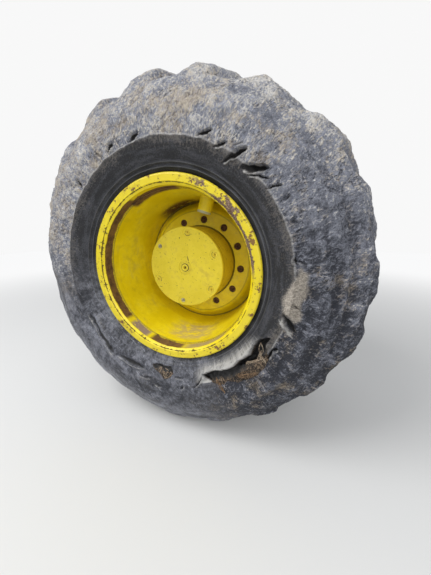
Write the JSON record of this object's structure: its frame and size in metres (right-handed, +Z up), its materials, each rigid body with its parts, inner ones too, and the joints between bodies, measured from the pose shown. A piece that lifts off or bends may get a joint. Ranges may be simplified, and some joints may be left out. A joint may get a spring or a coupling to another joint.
{
  "type": "forestry forwarder wheel with hub",
  "caption": "Worn flotation tyre on a deep-dished steel rim, bolted to a drive hub that turns freely on a flanged spindle.",
  "frame": {"origin": "centre of the spindle flange's bolt circle, in its mounting face", "axes": "+Y along the axle, out of the mounting face towards the machine, so the wheel's outer face looks to -Y; +Z up"},
  "size_m": [1.47, 0.76, 1.4698],
  "materials": {
    "tyre_rubber": "worn and dusty",
    "rim_paint": "chipped gloss paint",
    "hub_paint": "dulled gloss paint",
    "rusty_steel": "rusted",
    "screw_steel": "dulled",
    "gear_steel": "machined and oiled",
    "seal_rubber": "plain",
    "spindle_iron": "as cast, machined at the face",
    "valve_brass": "dulled"
  },
  "bodies": {
    "axle": {"spindle": "spindle_iron", "spindle_nut": "gear_steel", "seal_guard": "spindle_iron"},
    "wheel": {"tyre": "tyre_rubber", "rim_flange_outer": "rim_paint", "rim_flange_inner": "rim_paint", "rim_barrel": "rim_paint", "rim_disc": "rim_paint", "valve_guard": "rim_paint", "valve_stem": "valve_brass", "wheel_bolts": "rusty_steel", "hub_body": "hub_paint", "hub_drum": "hub_paint", "hub_cover": "hub_paint", "cover_screws": "screw_steel", "centre_plug": "hub_paint", "gear_block": "gear_steel", "bearing_front": "gear_steel", "bearing_rear": "gear_steel", "seal_ring": "seal_rubber"}
  },
  "joints": [
    {"name": "wheel_spin", "type": "hinge", "parent": "axle", "child": "wheel", "pos_m": [0, 0, 0], "axis": [0, 1, 0], "continuous": true}
  ]
}
